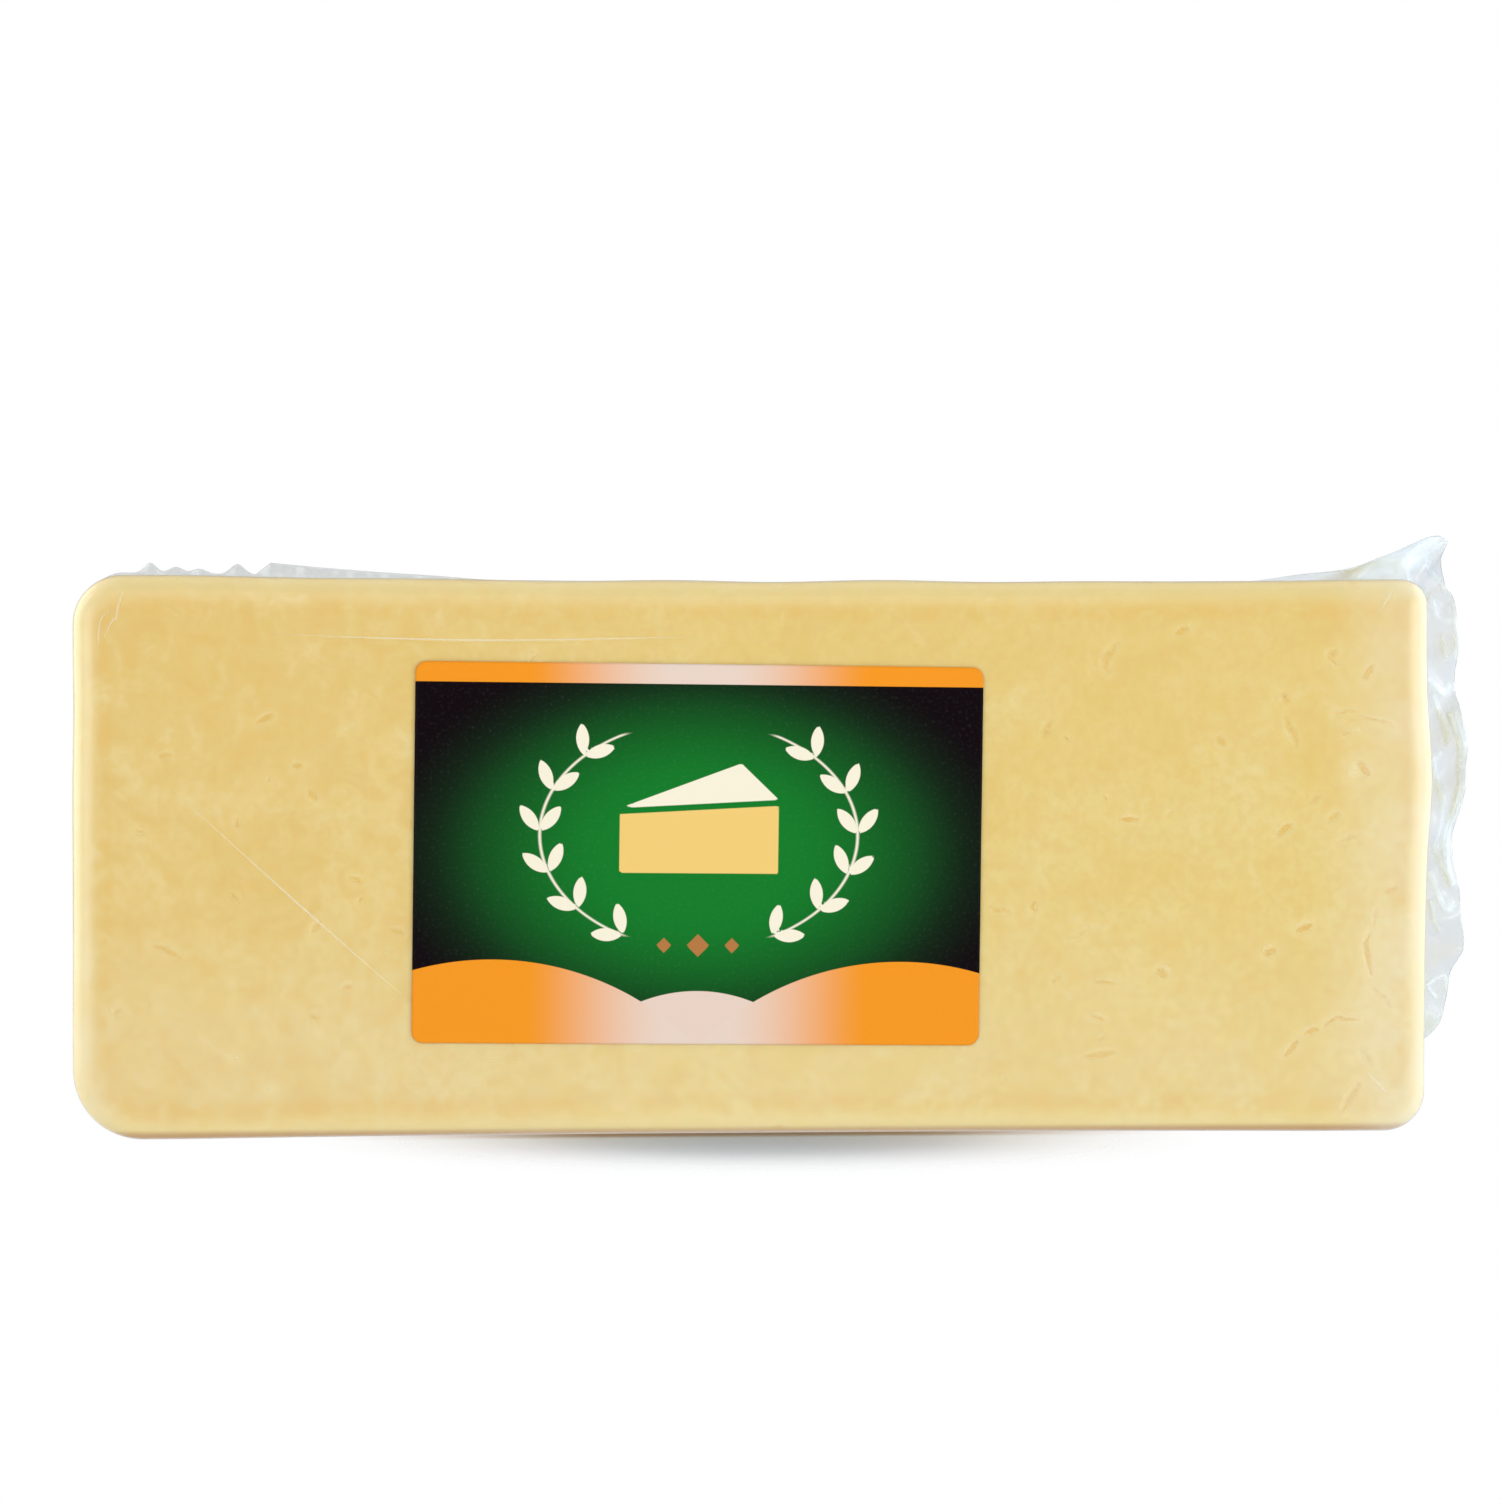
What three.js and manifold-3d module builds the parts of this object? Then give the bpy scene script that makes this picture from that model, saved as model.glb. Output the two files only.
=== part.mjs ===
// A vacuum-packed block of pale cheddar: the cheese, its printed label and the free edges of its clear bag.
// Millimetres, +Z up. The block stands on a long narrow side, its label faces -Y,
// and the origin is the middle of the face that it stands on.
import * as THREE from "three";
import { mergeVertices } from "three/addons/utils/BufferGeometryUtils.js";
import Module from "manifold-3d";

// Driving dimensions of the block
const LENGTH = 360;
const DEPTH = 88;
const HEIGHT = 148;
const HALF_LENGTH = LENGTH / 2;
const HALF_DEPTH = DEPTH / 2;
const HALF_HEIGHT = HEIGHT / 2;

// Rounding: the four corners of the outline seen from the front, and the rims of the two large faces
const CORNER_RADIUS = { leftTop: 13, rightTop: 7, leftBottom: 18.5, rightBottom: 11 };
const RIM_RADIUS = 6.5;

// Unevenness: the long edges draw in at mid-length, and the right end swells a little above its middle.
// Under the block only the rims of the large faces lift, so that it stands flat.
const TOP_SAG = 1.3;
const RIM_LIFT = 1.2;
const RIM_LIFT_REACH = 150;
const BASE_FLAT_REACH = 28;
const END_SWELL = 1.7;
const END_SWELL_AT = 95;
const END_SWELL_SPREAD = 20;

// Facets: graded steps in the rounded zone along every edge, even steps between
const EDGE_ZONE = 18.5;
const EDGE_STEPS = 5;
const EDGE_GRADING = 1.5;
const MIDDLE_STEPS = { length: 18, depth: 4, height: 7 };

// Pits where curds did not quite knit, on the label side
const PIT_DEPTH = 0.7;
const PIT_SHAPE_DEPTH = 1.3;
const PIT_FACETS = 1;
const PIT_WIDTH_SHARE = 0.4;
const PIT_SEED = 11;
const SCATTERED_PITS = 26;
const SCATTERED_PIT_LENGTH = { least: 2.6, most: 5.2 };
const PIT_FREE_BORDER = 14;
// The largest ones: x, z, length, and the angle above +X in degrees
const LARGEST_PITS = [
  [157.8, 96.8, 5.5, 15],
  [162.5, 119.5, 5.0, 60],
  [163.0, 52.5, 7.0, 95],
  [164.5, 42.0, 6.0, 105],
  [146.0, 25.5, 8.0, 48],
  [156.5, 30.6, 9.0, 8],
  [156.5, 9.5, 9.0, 60],
  [145.8, 55.4, 5.0, 30],
  [75.5, 108.4, 6.0, 58],
  [-130.4, 108.1, 6.0, 35],
];

// The label, a rounded card a little turned from upright, held just off the face
const LABEL = { width: 150, height: 100, thickness: 0.3, radius: 3 };
const LABEL_AT = { x: -16.5, z: 74.8, turnDegrees: -0.54 };
const LABEL_GAP = 0.3;
const LABEL_ARC_STEPS = 4;

// The bag's free film: fins that stand on the block at mid-depth
const FILM_THICKNESS = 1;
const FILM_GAP = 0.4;
const TAIL_STEPS = { along: 64, out: 5 };
const TAIL_FROM_X = 137;
const TAIL_TO_Z = 17;
const TAIL_WAVES = [
  { reach: 3.2, length: 47, shift: 0.4 },
  { reach: 1.8, length: 21, shift: 2.1 },
];
// The tail's outer edge as x, z: along the top, round the raised ear, then down the right end
const TAIL_EDGE = [
  [137, 149.1],
  [162, 150.4],
  [177, 154.8],
  [190, 160.0],
  [195.5, 159.0],
  [193, 153.2],
  [193, 146.5],
  [196.5, 141.0],
  [198, 120.0],
  [200, 100.0],
  [197.4, 76.0],
  [199.4, 53.0],
  [196.5, 41.0],
  [194, 27.0],
  [184, 16.5],
];
const CREST_STEPS = { along: 72, out: 2 };
const CREST_FROM_X = -176;
const CREST_TO_X = -62;
const CREST_LOW = 0.8;
// Ruffles of the crest: place along X, height and half width; the last runs out in a long wedge
const CREST_RUFFLES = [
  { x: -160, height: 2.6, spread: 2.4 },
  { x: -152, height: 1.7, spread: 4.4 },
  { x: -137, height: 2.6, spread: 3.4 },
];
const CREST_WEDGE = { x: -128, height: 3.2, rise: 4, run: 58, fade: 1.5 };
const CREST_WAVE = { reach: 1.6, length: 17, shift: 0.9 };

const wasm = await Module();
wasm.setup();

// A closed geometry as a solid for cutting
function solidFrom(geometry) {
  const bare = geometry.clone();
  bare.deleteAttribute("normal");
  bare.deleteAttribute("uv");
  const merged = mergeVertices(bare, 1e-3);
  return new wasm.Manifold(
    new wasm.Mesh({
      numProp: 3,
      vertProperties: merged.attributes.position.array,
      triVerts: new Uint32Array(merged.index.array),
    }),
  );
}

// A cut solid back as a geometry
function geometryFrom(solid) {
  const mesh = solid.getMesh();
  const geometry = new THREE.BufferGeometry();
  geometry.setAttribute("position", new THREE.BufferAttribute(mesh.vertProperties, 3));
  geometry.setIndex(new THREE.BufferAttribute(mesh.triVerts, 1));
  geometry.computeVertexNormals();
  return geometry;
}

// Repeatable random numbers from 0 to 1
function randomFrom(seed) {
  let state = seed;
  return () => {
    state = (state * 16807) % 2147483647;
    return state / 2147483647;
  };
}

// Places from -half to +half, close together near both ends
function gradedStations(half, middleSteps) {
  const zone = [];
  for (let k = 0; k < EDGE_STEPS; k++) zone.push(EDGE_ZONE * (k / EDGE_STEPS) ** EDGE_GRADING);
  const inner = half - EDGE_ZONE;
  const middle = [];
  for (let k = 0; k <= middleSteps; k++) middle.push(-inner + (2 * inner * k) / middleSteps);
  const ends = zone.map((step) => half - step);
  return [...ends.map((place) => -place), ...middle, ...ends.reverse()];
}

// The corner radius of the quadrant that holds x, z, measured from the block's centre
function cornerRadius(x, z) {
  if (x < 0) return z < 0 ? CORNER_RADIUS.leftBottom : CORNER_RADIUS.leftTop;
  return z < 0 ? CORNER_RADIUS.rightBottom : CORNER_RADIUS.rightTop;
}

// How far the top face sinks at x
const topSag = (x) => TOP_SAG * Math.max(0, 1 - (x / HALF_LENGTH) ** 2);

// How far the right end swells out at height z above the base
const endSwell = (z) => END_SWELL * Math.exp(-(((z - END_SWELL_AT) / END_SWELL_SPREAD) ** 2));

// A point of the square-edged box about its own centre, moved onto the rounded, uneven block.
// Outline corners turn squares into discs; rims turn the square meeting of two faces into an arc.
function blockPoint(x, y, z) {
  const inset = Math.min(HALF_LENGTH - Math.abs(x), HALF_HEIGHT - Math.abs(z));
  const sunk = HALF_DEPTH - Math.abs(y);
  const radius = cornerRadius(x, z);
  const place = new THREE.Vector2(Math.abs(x), Math.abs(z));
  const past = new THREE.Vector2(place.x - (HALF_LENGTH - radius), place.y - (HALF_HEIGHT - radius));
  const outward = new THREE.Vector2(0, 0);
  if (past.x > 0 && past.y > 0) {
    outward.copy(past).normalize();
    place.sub(past).addScaledVector(outward, Math.max(past.x, past.y));
  } else if (HALF_LENGTH - place.x < HALF_HEIGHT - place.y) {
    outward.set(1, 0);
  } else {
    outward.set(0, 1);
  }
  let newY = Math.abs(y);
  if (inset < RIM_RADIUS && sunk < RIM_RADIUS) {
    const rim = new THREE.Vector2(RIM_RADIUS - inset, RIM_RADIUS - sunk);
    const reach = Math.max(rim.x, rim.y);
    const turned = rim.clone().normalize().multiplyScalar(reach);
    place.addScaledVector(outward, turned.x - rim.x);
    newY += turned.y - rim.y;
  }
  const point = new THREE.Vector3(place.x * Math.sign(x), newY * Math.sign(y), place.y * Math.sign(z));
  return uneven(point);
}

// Sag, lifted rims and end swell, each fading to nothing on the far side of the block
function uneven(point) {
  const rise = THREE.MathUtils.clamp((point.z + HALF_HEIGHT) / HEIGHT, 0, 1);
  const reach = THREE.MathUtils.clamp((point.x + HALF_LENGTH) / LENGTH, 0, 1);
  const rim = THREE.MathUtils.smoothstep(Math.abs(point.y), BASE_FLAT_REACH, HALF_DEPTH);
  const lift = RIM_LIFT * rim * Math.max(0, 1 - (point.x / RIM_LIFT_REACH) ** 2);
  const z = point.z + HALF_HEIGHT - topSag(point.x) * rise + lift * (1 - rise);
  return new THREE.Vector3(point.x + endSwell(z) * reach, point.y, z);
}

// The block before its pits: a box with graded steps, every vertex moved by blockPoint
function blockGeometry() {
  const stations = {
    x: gradedStations(HALF_LENGTH, MIDDLE_STEPS.length),
    y: gradedStations(HALF_DEPTH, MIDDLE_STEPS.depth),
    z: gradedStations(HALF_HEIGHT, MIDDLE_STEPS.height),
  };
  const steps = { x: stations.x.length - 1, y: stations.y.length - 1, z: stations.z.length - 1 };
  const geometry = new THREE.BoxGeometry(steps.x, steps.y, steps.z, steps.x, steps.y, steps.z);
  const position = geometry.attributes.position;
  const stationAt = (axis, value) => stations[axis][Math.round(value + steps[axis] / 2)];
  for (let i = 0; i < position.count; i++) {
    const point = blockPoint(
      stationAt("x", position.getX(i)),
      stationAt("y", position.getY(i)),
      stationAt("z", position.getZ(i)),
    );
    position.setXYZ(i, point.x, point.y, point.z);
  }
  return geometry;
}

// One pit: an ellipsoid laid on the label side, sunk to the pit's depth
function pitSolid(x, z, length, angleDegrees) {
  const pit = new THREE.IcosahedronGeometry(1, PIT_FACETS);
  pit.scale(length / 2, PIT_SHAPE_DEPTH, (length * PIT_WIDTH_SHARE) / 2);
  pit.rotateY(-THREE.MathUtils.degToRad(angleDegrees));
  pit.translate(x, PIT_DEPTH - PIT_SHAPE_DEPTH - HALF_DEPTH, z);
  return solidFrom(pit);
}

// Small pits scattered over the label side, clear of the label and of the rounded border
function scatteredPits() {
  const random = randomFrom(PIT_SEED);
  const between = (least, most) => least + (most - least) * random();
  const clearX = LABEL.width / 2 + SCATTERED_PIT_LENGTH.most;
  const clearZ = LABEL.height / 2 + SCATTERED_PIT_LENGTH.most;
  const pits = [];
  while (pits.length < SCATTERED_PITS) {
    const x = between(PIT_FREE_BORDER - HALF_LENGTH, HALF_LENGTH - PIT_FREE_BORDER);
    const z = between(PIT_FREE_BORDER, HEIGHT - PIT_FREE_BORDER);
    const length = between(SCATTERED_PIT_LENGTH.least, SCATTERED_PIT_LENGTH.most);
    const angle = between(0, 180);
    if (Math.abs(x - LABEL_AT.x) < clearX && Math.abs(z - LABEL_AT.z) < clearZ) continue;
    pits.push([x, z, length, angle]);
  }
  return pits;
}

// The cheese: the rounded block with its pits cut in
function cheeseGeometry() {
  let cheese = solidFrom(blockGeometry());
  for (const pit of [...LARGEST_PITS, ...scatteredPits()]) cheese = cheese.subtract(pitSolid(...pit));
  return geometryFrom(cheese);
}

// The label: a card with rounded corners, standing upright and facing -Y
function labelGeometry() {
  const { width, height, radius, thickness } = LABEL;
  const [right, top] = [width / 2 - radius, height / 2 - radius];
  const card = new THREE.Shape();
  card.absarc(right, top, radius, 0, Math.PI / 2);
  card.absarc(-right, top, radius, Math.PI / 2, Math.PI);
  card.absarc(-right, -top, radius, Math.PI, 1.5 * Math.PI);
  card.absarc(right, -top, radius, 1.5 * Math.PI, 2 * Math.PI);
  card.closePath();
  const options = { depth: thickness, bevelEnabled: false, curveSegments: LABEL_ARC_STEPS };
  return new THREE.ExtrudeGeometry(card, options).rotateX(Math.PI / 2);
}

// A thin wavy fin between two lines: point(along, out, side) is a point of one face, each share from 0 to 1.
// Both faces are split into triangles alike, and a wall closes them all round.
function finGeometry(steps, point) {
  const columns = steps.along + 1;
  const rows = steps.out + 1;
  const positions = [];
  for (const side of [-1, 1]) {
    for (let row = 0; row < rows; row++) {
      for (let column = 0; column < columns; column++) {
        positions.push(...point(column / steps.along, row / steps.out, side).toArray());
      }
    }
  }
  const front = (column, row) => row * columns + column;
  const back = (column, row) => columns * rows + front(column, row);
  const index = [];
  const quad = (a, b, c, d) => index.push(a, b, c, a, c, d);
  for (let row = 0; row < steps.out; row++) {
    for (let column = 0; column < steps.along; column++) {
      const corners = [[column, row], [column + 1, row], [column + 1, row + 1], [column, row + 1]];
      const [a, b, c, d] = corners.map((corner) => front(...corner));
      const [e, f, g, h] = corners.map((corner) => back(...corner));
      quad(a, b, c, d);
      index.push(e, g, f, e, h, g);
    }
  }
  const wall = (from, to) => quad(front(...from), front(...to), back(...to), back(...from));
  for (let column = 0; column < steps.along; column++) {
    wall([column + 1, 0], [column, 0]);
    wall([column, steps.out], [column + 1, steps.out]);
  }
  for (let row = 0; row < steps.out; row++) {
    wall([0, row], [0, row + 1]);
    wall([steps.along, row + 1], [steps.along, row]);
  }
  const geometry = new THREE.BufferGeometry();
  geometry.setAttribute("position", new THREE.Float32BufferAttribute(positions, 3));
  geometry.setIndex(index);
  geometry.computeVertexNormals();
  return geometry;
}

// How far a fin's outer edge leans to one side, by a sum of waves along it
function lean(waves, distance) {
  const one = ({ reach, length, shift }) => reach * Math.sin((2 * Math.PI * distance) / length + shift);
  return waves.reduce((sum, wave) => sum + one(wave), 0);
}

// The line where the tail leaves the block: along the top, round the corner, down the right end
function tailRoot() {
  const cornerX = HALF_LENGTH - CORNER_RADIUS.rightTop;
  const cornerZ = HEIGHT - CORNER_RADIUS.rightTop;
  const radius = CORNER_RADIUS.rightTop + FILM_GAP;
  const start = new THREE.Vector2(TAIL_FROM_X, cornerZ + radius);
  const turnFrom = new THREE.Vector2(cornerX, cornerZ + radius);
  const turnTo = new THREE.Vector2(cornerX + radius, cornerZ);
  const end = new THREE.Vector2(cornerX + radius, TAIL_TO_Z);
  const line = new THREE.CurvePath();
  line.add(new THREE.LineCurve(start, turnFrom));
  line.add(new THREE.EllipseCurve(cornerX, cornerZ, radius, radius, Math.PI / 2, 0, true));
  line.add(new THREE.LineCurve(turnTo, end));
  return line;
}

// The tail: the bag's gathered mouth on the right end, with the ear that stands above the corner
function tailGeometry() {
  const root = tailRoot();
  const edge = new THREE.SplineCurve(TAIL_EDGE.map(([x, z]) => new THREE.Vector2(x, z)));
  const reach = edge.getLength();
  return finGeometry(TAIL_STEPS, (along, out, side) => {
    const from = root.getPointAt(along);
    from.set(from.x + endSwell(from.y), from.y - topSag(from.x));
    const place = from.lerp(edge.getPointAt(along), out);
    const y = out * lean(TAIL_WAVES, along * reach) + (side * FILM_THICKNESS) / 2;
    return new THREE.Vector3(place.x, y, place.y);
  });
}

// The block's top at mid-depth over x, with the left corner's rounding
function topHeight(x) {
  const radius = CORNER_RADIUS.leftTop;
  const past = Math.max(0, radius - HALF_LENGTH - x);
  return HEIGHT - topSag(x) - radius + Math.sqrt(Math.max(0, radius ** 2 - past ** 2));
}

// How high the crest stands over the block at x
function crestHeight(x) {
  const past = x - CREST_WEDGE.x;
  const climb = Math.max(0, 1 + past / CREST_WEDGE.rise);
  const runOut = Math.max(0, 1 - past / CREST_WEDGE.run) ** CREST_WEDGE.fade;
  const wedge = CREST_WEDGE.height * (past < 0 ? climb : runOut);
  const hump = (ruffle) => ruffle.height * Math.exp(-(((x - ruffle.x) / ruffle.spread) ** 2));
  return CREST_RUFFLES.reduce((sum, ruffle) => sum + hump(ruffle), CREST_LOW + wedge);
}

// The crest: the bag's side seam, which stands in ruffles on the top near the left end
function crestGeometry() {
  return finGeometry(CREST_STEPS, (along, out, side) => {
    const x = THREE.MathUtils.lerp(CREST_FROM_X, CREST_TO_X, along);
    const z = topHeight(x) + FILM_GAP + out * crestHeight(x);
    const y = out * lean([CREST_WAVE], x) + (side * FILM_THICKNESS) / 2;
    return new THREE.Vector3(x, y, z);
  });
}

// Finishes
const CHEESE = { color: 0xe9d08a, roughness: 0.45, metalness: 0 };
const PRINT = { color: 0x14652b, roughness: 0.35, metalness: 0 };
const CLEAR_FILM = { color: 0xe4ebef, roughness: 0.12, metalness: 0, transparent: true, opacity: 0.35 };

function piece(name, geometry, finish) {
  const mesh = new THREE.Mesh(geometry, new THREE.MeshStandardMaterial(finish));
  mesh.name = name;
  return mesh;
}

const label = piece("label", labelGeometry(), PRINT);
label.position.set(LABEL_AT.x, -HALF_DEPTH - LABEL_GAP, LABEL_AT.z);
label.rotation.y = -THREE.MathUtils.degToRad(LABEL_AT.turnDegrees);

const pack = new THREE.Group();
pack.add(piece("cheese_block", cheeseGeometry(), CHEESE));
pack.add(label);
pack.add(piece("film_tail", tailGeometry(), CLEAR_FILM));
pack.add(piece("film_crest", crestGeometry(), CLEAR_FILM));

export default pack;
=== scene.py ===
"""The looks of a vacuum-packed block of cheddar, built over its solids and in their frame.

Lengths in this script are millimetres, and become metres when a mesh is made.
"""
import math

import bpy
import numpy as np
from mathutils import Matrix


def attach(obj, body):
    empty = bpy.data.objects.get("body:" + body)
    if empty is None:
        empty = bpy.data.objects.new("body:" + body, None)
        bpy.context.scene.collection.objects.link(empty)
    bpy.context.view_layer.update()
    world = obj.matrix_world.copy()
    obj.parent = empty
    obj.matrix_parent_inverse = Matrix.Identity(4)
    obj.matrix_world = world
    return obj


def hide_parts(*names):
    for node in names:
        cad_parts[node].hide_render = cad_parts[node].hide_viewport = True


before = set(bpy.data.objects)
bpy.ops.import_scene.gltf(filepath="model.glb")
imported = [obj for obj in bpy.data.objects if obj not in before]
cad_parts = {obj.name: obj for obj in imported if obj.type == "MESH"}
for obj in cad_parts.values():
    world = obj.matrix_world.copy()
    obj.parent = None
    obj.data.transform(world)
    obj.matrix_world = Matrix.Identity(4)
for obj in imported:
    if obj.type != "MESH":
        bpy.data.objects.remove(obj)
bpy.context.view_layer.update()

MM = 0.001
WHITE = (1.0, 1.0, 1.0, 1.0)

# The block's size, rounding and unevenness, as its solid has them
HALF_LENGTH, HALF_DEPTH, HALF_HEIGHT = 180.0, 44.0, 74.0
HALF_SIZE = np.array([HALF_LENGTH, HALF_DEPTH, HALF_HEIGHT])
HEIGHT = 2 * HALF_HEIGHT
CORNER_LEFT_TOP, CORNER_RIGHT_TOP, CORNER_LEFT_BOTTOM, CORNER_RIGHT_BOTTOM = 13.0, 7.0, 18.5, 11.0
RIM_RADIUS, RIM_REACH, RIM_POWER = 6.5, 8.2, 2.6
TOP_SAG = 1.3
RIM_LIFT, RIM_LIFT_REACH, BASE_FLAT_REACH = 1.2, 150.0, 28.0
END_SWELL, END_SWELL_AT, END_SWELL_SPREAD = 1.7, 95.0, 20.0

# The cheese's own surface: slow swells and curd lumps
SWELL = {"seed": 3, "count": 26, "longest": 70.0, "shortest": 30.0, "height": 0.12}
LUMPS = {"seed": 4, "count": 40, "longest": 16.0, "shortest": 7.0, "height": 0.03}
# Curd lines that stand out on the label side: orange stain, pale edge, width, and the line as x, z. The pale
# edge is a painted highlight on the lit side; with no stain it is a pale speck along the middle
FACE_LINES = [
    (0.5, 0.3, 0.8, [(152.5, 112), (155, 112.5), (157, 113), (159.5, 112.5)]),
    (0.55, 0.4, 0.8, [(159.5, 112), (161, 111), (163.5, 110.5), (167.5, 109.5), (169.5, 108)]),
    (0.5, 0.2, 1.6, [(139.5, 118.5), (140, 114.5)]),
    (0.6, 0.3, 1.4, [(139.5, 112), (140.5, 109), (142, 106), (142.5, 103)]),
    (0.85, 0.3, 1.4, [(161, 121), (162, 122.5), (164, 125.5)]),
    (0.5, 0.3, 1.6, [(151.5, 126.5), (154, 129.5)]),
    (1, 0.3, 1.4, [(158.5, 99.5), (160, 97.5), (161.5, 95.5)]),
    (0, 1, 2.3, [(158, 100), (157, 94.5)]),
    (0, 0.9, 0.8, [(158.5, 108), (160, 108)]),
    (0.85, 0.6, 1.3, [(137.5, 79.5), (139.5, 81.5), (141.5, 83)]),
    (0.55, 0.3, 1.4, [(150.5, 83), (154, 86)]),
    (0.35, 0.3, 1.6, [(145.5, 88), (149, 90.5)]),
    (0.55, 0.6, 1.4, [(167, 64), (171, 66)]),
    (0.9, 0.9, 1.3, [(143.5, 54), (148, 56)]),
    (0.4, 0.5, 0.9, [(165.5, 60.5), (165, 58.5), (164.5, 55.5)]),
    (0.85, 0.6, 1.1, [(164, 54), (163, 52), (162.5, 50.5), (163, 48), (164, 42)]),
    (0.55, 0.5, 1, [(164, 39.5), (166, 37.5), (168, 36), (169.5, 33.5)]),
    (0.95, 0.5, 1.1, [(140.5, 20.5), (142.5, 22.5), (144, 25)]),
    (0.85, 0.4, 1.2, [(146, 26.5), (148, 27.5), (150, 28)]),
    (0.85, 0.5, 0.8, [(151, 28.5), (153, 30), (155, 31), (157, 30.5), (161, 30.5)]),
    (0.35, 0.3, 1.6, [(161, 23.5), (163, 20.5), (165.5, 17)]),
    (0.6, 0.6, 1.3, [(161.5, 14), (159, 10), (156, 5)]),
    (0.65, 0.3, 1.4, [(95, 131.5), (92.5, 128.5), (91.5, 126), (92.5, 123)]),
    (0.65, 0.3, 1.4, [(110.5, 133.5), (114, 135.5)]),
    (0.6, 0.2, 1.8, [(121, 106.5), (123, 103.5)]),
    (0.8, 0.5, 1, [(94.5, 84), (100.5, 84)]),
    (0.5, 0.5, 0.9, [(89, 40.5), (95.5, 40)]),
    (0.7, 0.7, 1.7, [(106, 44), (108.5, 41.5)]),
    (0.8, 0.8, 1.4, [(135, 47.5), (138, 49.5)]),
    (0.4, 0.3, 1.3, [(89.5, 24.5), (92.5, 25.5)]),
    (0.5, 0.3, 1.4, [(74, 105.5), (75.5, 108.5), (77, 111)]),
    (0.8, 0.4, 1.2, [(-132.5, 109.5), (-130.5, 110.5), (-128, 112)]),
    (0.8, 0.3, 1.3, [(-119, 92), (-117, 89)]),
    (0.6, 0.3, 1.4, [(-123.5, 98), (-120.5, 98.5)]),
    (0.6, 0.3, 1.4, [(-158, 100.5), (-154.5, 101)]),
    (0.5, 0.3, 1.3, [(-137.5, 84.5), (-137.5, 81.5)]),
    (0.45, 0.3, 1.2, [(-139.5, 65.5), (-136.5, 62)]),
    (0.55, 0.5, 1.2, [(-115.5, 57.5), (-118, 54)]),
    (0.55, 0.5, 1.2, [(-108.5, 69), (-104.5, 67.5)]),
    (0.5, 0.5, 1.2, [(-98, 55), (-93.5, 54)]),
    (0.45, 0.6, 1.3, [(-110.5, 39), (-107, 40.5)]),
    (0.5, 0.4, 1.8, [(-119, 32.5), (-115.5, 31.5)]),
    (0.4, 0.3, 1.6, [(-169.5, 33), (-167, 35)]),
    (0, 1, 0.9, [(-138, 22), (-137, 22)]),
    (0, 1, 0.8, [(-129.5, 13), (-128.5, 13)]),
]
# Strewn lines: seed, number and distance from the edges. All lines: depth, and how far a stain stands off
LINE_SEED, STREWN_LINES, STREWN_BORDER = 21, 150, 14.0
LINE_SINK, LINE_ABOVE = 0.25, 0.08

# How far the cheese lies under the bag's film, and the film's creases on the label side as lines of x, z
UNDER_FILM = 0.25
FACE_CREASES = [
    [(-151, 89), (-119.5, 60.2), (-91.8, 35.4)],
    [(-128.9, 132.9), (-74.2, 131.8), (-16.4, 133)],
    [(170.4, 147.4), (167.3, 142.3), (165.1, 138.3)],
    [(162.9, 16.4), (165.9, 13.4), (169.2, 9.9)],
    [(-171.1, 141.1), (-172.9, 135.4), (-173.4, 128.1)],
    [(-166.7, 144.2), (-168.7, 138.5), (-172.1, 130.7)],
]
CREASE_SEED = 31
CREASE_WIDTH, CREASE_HEIGHT, CREASE_FROM_EDGE = 0.55, 0.06, 9.0
# How much the tight film clouds on the rims, to the right and low down: a white haze that paints the rims'
# highlight, light on the right end and the floor's bounce light low down
RIM_HIGHLIGHT_HAZE, END_LIGHT_HAZE, LOW_BOUNCE_HAZE = 0.61, 1.0, 0.385

# The label's size, place and tilt, and how far its back stands off the face
LABEL_HALF_WIDTH, LABEL_HALF_HEIGHT, LABEL_CORNER = 75.0, 50.0, 3.0
LABEL_THICKNESS, LABEL_OFF = 0.2, 0.12
LABEL_X, LABEL_Z, LABEL_TURN = -16.5, 74.8, -0.54
# The ellipse that the emblem's two sprigs follow: its middle on the label, half width and half height
SPRIG_MIDDLE = (0.0, 5.0, 0.0)
SPRIG_WIDE, SPRIG_TALL = 42.0, 30.0

# The bag's loose film on the right end: where it leaves the block, and its outer edge as x, z
TAIL_FROM_X, TAIL_TO_Z = 137.0, 17.0
TAIL_EDGE = [
    (137, 149.1), (162, 150.4), (177, 154.8), (190, 160.0), (195.5, 159.0),
    (193, 153.2), (193, 146.5), (196.5, 141.0), (198, 120.0), (200, 100.0),
    (197.4, 76.0), (199.4, 53.0), (196.5, 41.0), (194, 27.0), (184, 16.5),
]
# The waves that the tail and the ruffle stand in: how far each reaches sideways, its length and its shift
TAIL_WAVES = [(3.2, 47.0, 0.4), (1.8, 21.0, 2.1)]
CREST_WAVES = [(1.6, 17.0, 0.9), (0.5, 6.3, 0.0)]
# Kinds of fold: how far its ridge stands towards the label side, the ridge's spread and sharpness (1 sharp,
# 2 round), its whiteness, a painted highlight along the fold, and the spread of that
FOLD_KINDS = {
    "crease": (0.5, 2.0, 1.4, 0.9, 0.55),
    "roll": (0.7, 1.8, 2.0, 0.65, 0.8),
    "dent": (-0.7, 2.4, 1.4, 0.0, 1.0),
    "veil": (0.4, 3.5, 2.0, 0.7, 3.0),
}
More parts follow.
